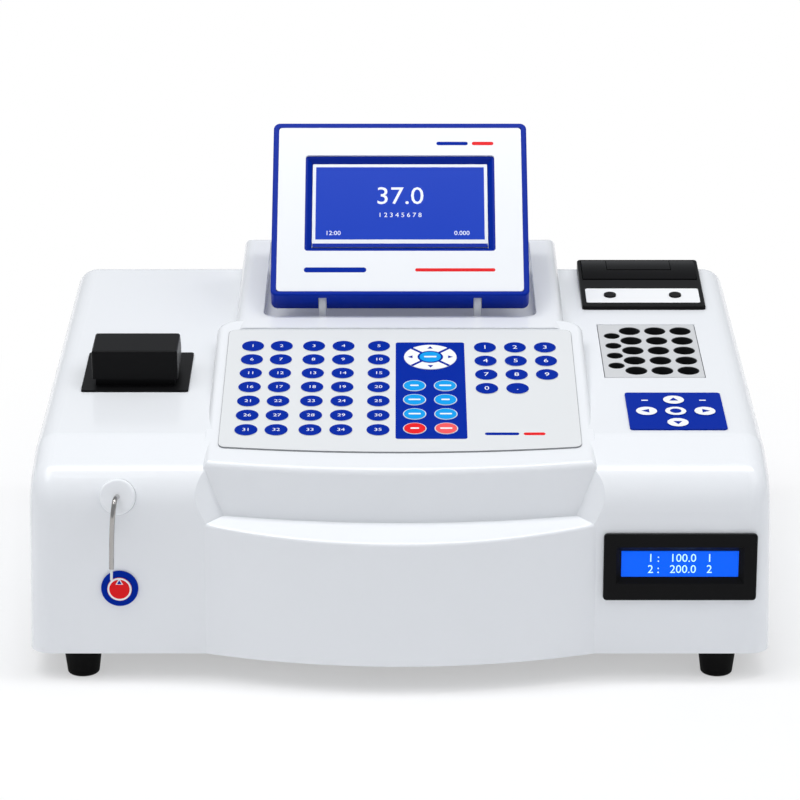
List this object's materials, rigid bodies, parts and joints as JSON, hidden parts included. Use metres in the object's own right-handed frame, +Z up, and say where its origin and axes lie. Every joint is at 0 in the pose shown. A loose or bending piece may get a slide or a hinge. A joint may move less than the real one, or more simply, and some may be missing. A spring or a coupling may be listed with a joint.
{
  "type": "chemistry analyzer",
  "caption": "Bench-top clinical chemistry analyzer with a sloped keypad console, tilting screen, sampling needle, tube incubator, covered flow cell and small strip printer.",
  "frame": {"origin": "centre of the bounding box at the bottoms of the feet", "axes": "+X to the right as the operator sees it, +Y away from the operator, +Z up; the operator stands at -Y"},
  "size_m": [0.4096, 0.339, 0.254],
  "materials": {
    "white": "glossy white moulding",
    "overlay": "satin printed film, pale grey",
    "blue": "deep blue, satin to glossy",
    "black": "black, satin",
    "red": "red button",
    "rubber": "black rubber",
    "steel": "plain steel",
    "aluminium": "milled, satin",
    "silver": "pressed display frame",
    "pan": "grey powder coat",
    "board": "circuit board",
    "motor": "motor can",
    "rotor": "natural plastic",
    "heater": "silicone heater mat",
    "tube": "milky plastic",
    "clear": "clear glass",
    "filter": "coated filter glass",
    "lcd": "lit blue character display",
    "display": "blue graphic display"
  },
  "bodies": {
    "housing": {"upper_housing": "white", "base_pan": "pan", "rubber_feet": "rubber", "foot_bolts": "steel", "housing_screws": "steel", "keypad_overlay": "overlay", "side_keypad_overlay": "blue", "cell_deck_plate": "black", "optical_bench": "aluminium", "cell_holder": "aluminium", "flow_cell": "clear", "lamp_housing": "aluminium", "halogen_lamp": "clear", "condenser_lens": "clear", "filter_motor": "motor", "detector_board": "board", "aspirator_boss": "white", "aspiration_needle": "steel", "needle_liner": "tube", "sample_tube": "tube", "aspirate_ring": "blue", "aspirate_switch": "board", "front_lcd_bezel": "black", "front_lcd": "lcd", "front_lcd_board": "board", "incubator_block": "aluminium", "incubator_heater": "heater", "incubator_stand": "pan", "printer_body": "black", "printer_fascia": "white", "printer_key_board": "board", "hinge_brackets": "steel", "fan_frame": "black", "power_inlet": "black", "serial_port": "steel", "usb_port": "steel", "waste_outlet": "tube", "pump_head": "tube", "pump_motor": "motor", "main_board": "board", "power_supply": "pan"},
    "screen": {"screen_frame": "blue", "screen_back": "blue", "screen_screws": "steel", "screen_face_plate": "white", "screen_lcd_frame": "silver", "screen_lcd": "display", "screen_board": "board"},
    "cell_lid": {"cell_lid": "black"},
    "printer_door": {"printer_door": "black"},
    "door_tab": {"door_tab": "black"},
    "platen_roller": {"platen_roller": "rubber"},
    "feed_button": {"feed_button": "black"},
    "select_button": {"select_button": "black"},
    "aspirate_button": {"aspirate_button": "red"},
    "power_rocker": {"power_rocker": "black"},
    "fan_rotor": {"fan_rotor": "black"},
    "pump_rotor": {"pump_rotor": "rotor"},
    "filter_wheel": {"filter_wheel": "aluminium", "interference_filters": "filter"}
  },
  "joints": [
    {"name": "screen_tilt", "type": "hinge", "parent": "housing", "child": "screen", "pos_m": [0, 0.04169, 0.16926], "axis": [-1, 0, 0], "range_deg": [-18, 45]},
    {"name": "cell_lid_hinge", "type": "hinge", "parent": "housing", "child": "cell_lid", "pos_m": [-0.1514, -0.00465, 0.14437], "axis": [-1, 0, 0], "range_deg": [0, 100]},
    {"name": "printer_door_hinge", "type": "hinge", "parent": "housing", "child": "printer_door", "pos_m": [0.1482, 0.12351, 0.15243], "axis": [1, 0, 0], "range_deg": [0, 80]},
    {"name": "door_tab_lift", "type": "hinge", "parent": "printer_door", "child": "door_tab", "pos_m": [0.1482, 0.13209, 0.15658], "axis": [1, 0, 0], "range_deg": [0, 12], "stiffness_Nm_per_rad": 0.02, "springref_deg": -2.86},
    {"name": "platen_spin", "type": "hinge", "parent": "printer_door", "child": "platen_roller", "pos_m": [0.1482, 0.14164, 0.15288], "axis": [1, 0, 0], "continuous": true},
    {"name": "feed_press", "type": "slide", "parent": "housing", "child": "feed_button", "axis": [0, 0.1461, -0.9893], "range_m": [0, 0.0008], "stiffness_N_per_m": 800, "springref_m": -0.0005},
    {"name": "select_press", "type": "slide", "parent": "housing", "child": "select_button", "axis": [0, 0.1461, -0.9893], "range_m": [0, 0.0008], "stiffness_N_per_m": 800, "springref_m": -0.0005},
    {"name": "aspirate_press", "type": "slide", "parent": "housing", "child": "aspirate_button", "axis": [0, 1, 0], "range_m": [0, 0.001], "stiffness_N_per_m": 800, "springref_m": -0.0005},
    {"name": "rocker_tilt", "type": "hinge", "parent": "housing", "child": "power_rocker", "pos_m": [0.112, 0.161, 0.048], "axis": [-1, 0, 0], "range_deg": [0, 16]},
    {"name": "fan_spin", "type": "hinge", "parent": "housing", "child": "fan_rotor", "pos_m": [-0.14, 0.157, 0.072], "axis": [0, 1, 0], "continuous": true},
    {"name": "pump_spin", "type": "hinge", "parent": "housing", "child": "pump_rotor", "pos_m": [-0.062, -0.104, 0.046], "axis": [0, 1, 0], "continuous": true},
    {"name": "filter_spin", "type": "hinge", "parent": "housing", "child": "filter_wheel", "pos_m": [-0.1344, -0.058, 0.1055], "axis": [0, 1, 0], "continuous": true}
  ]
}
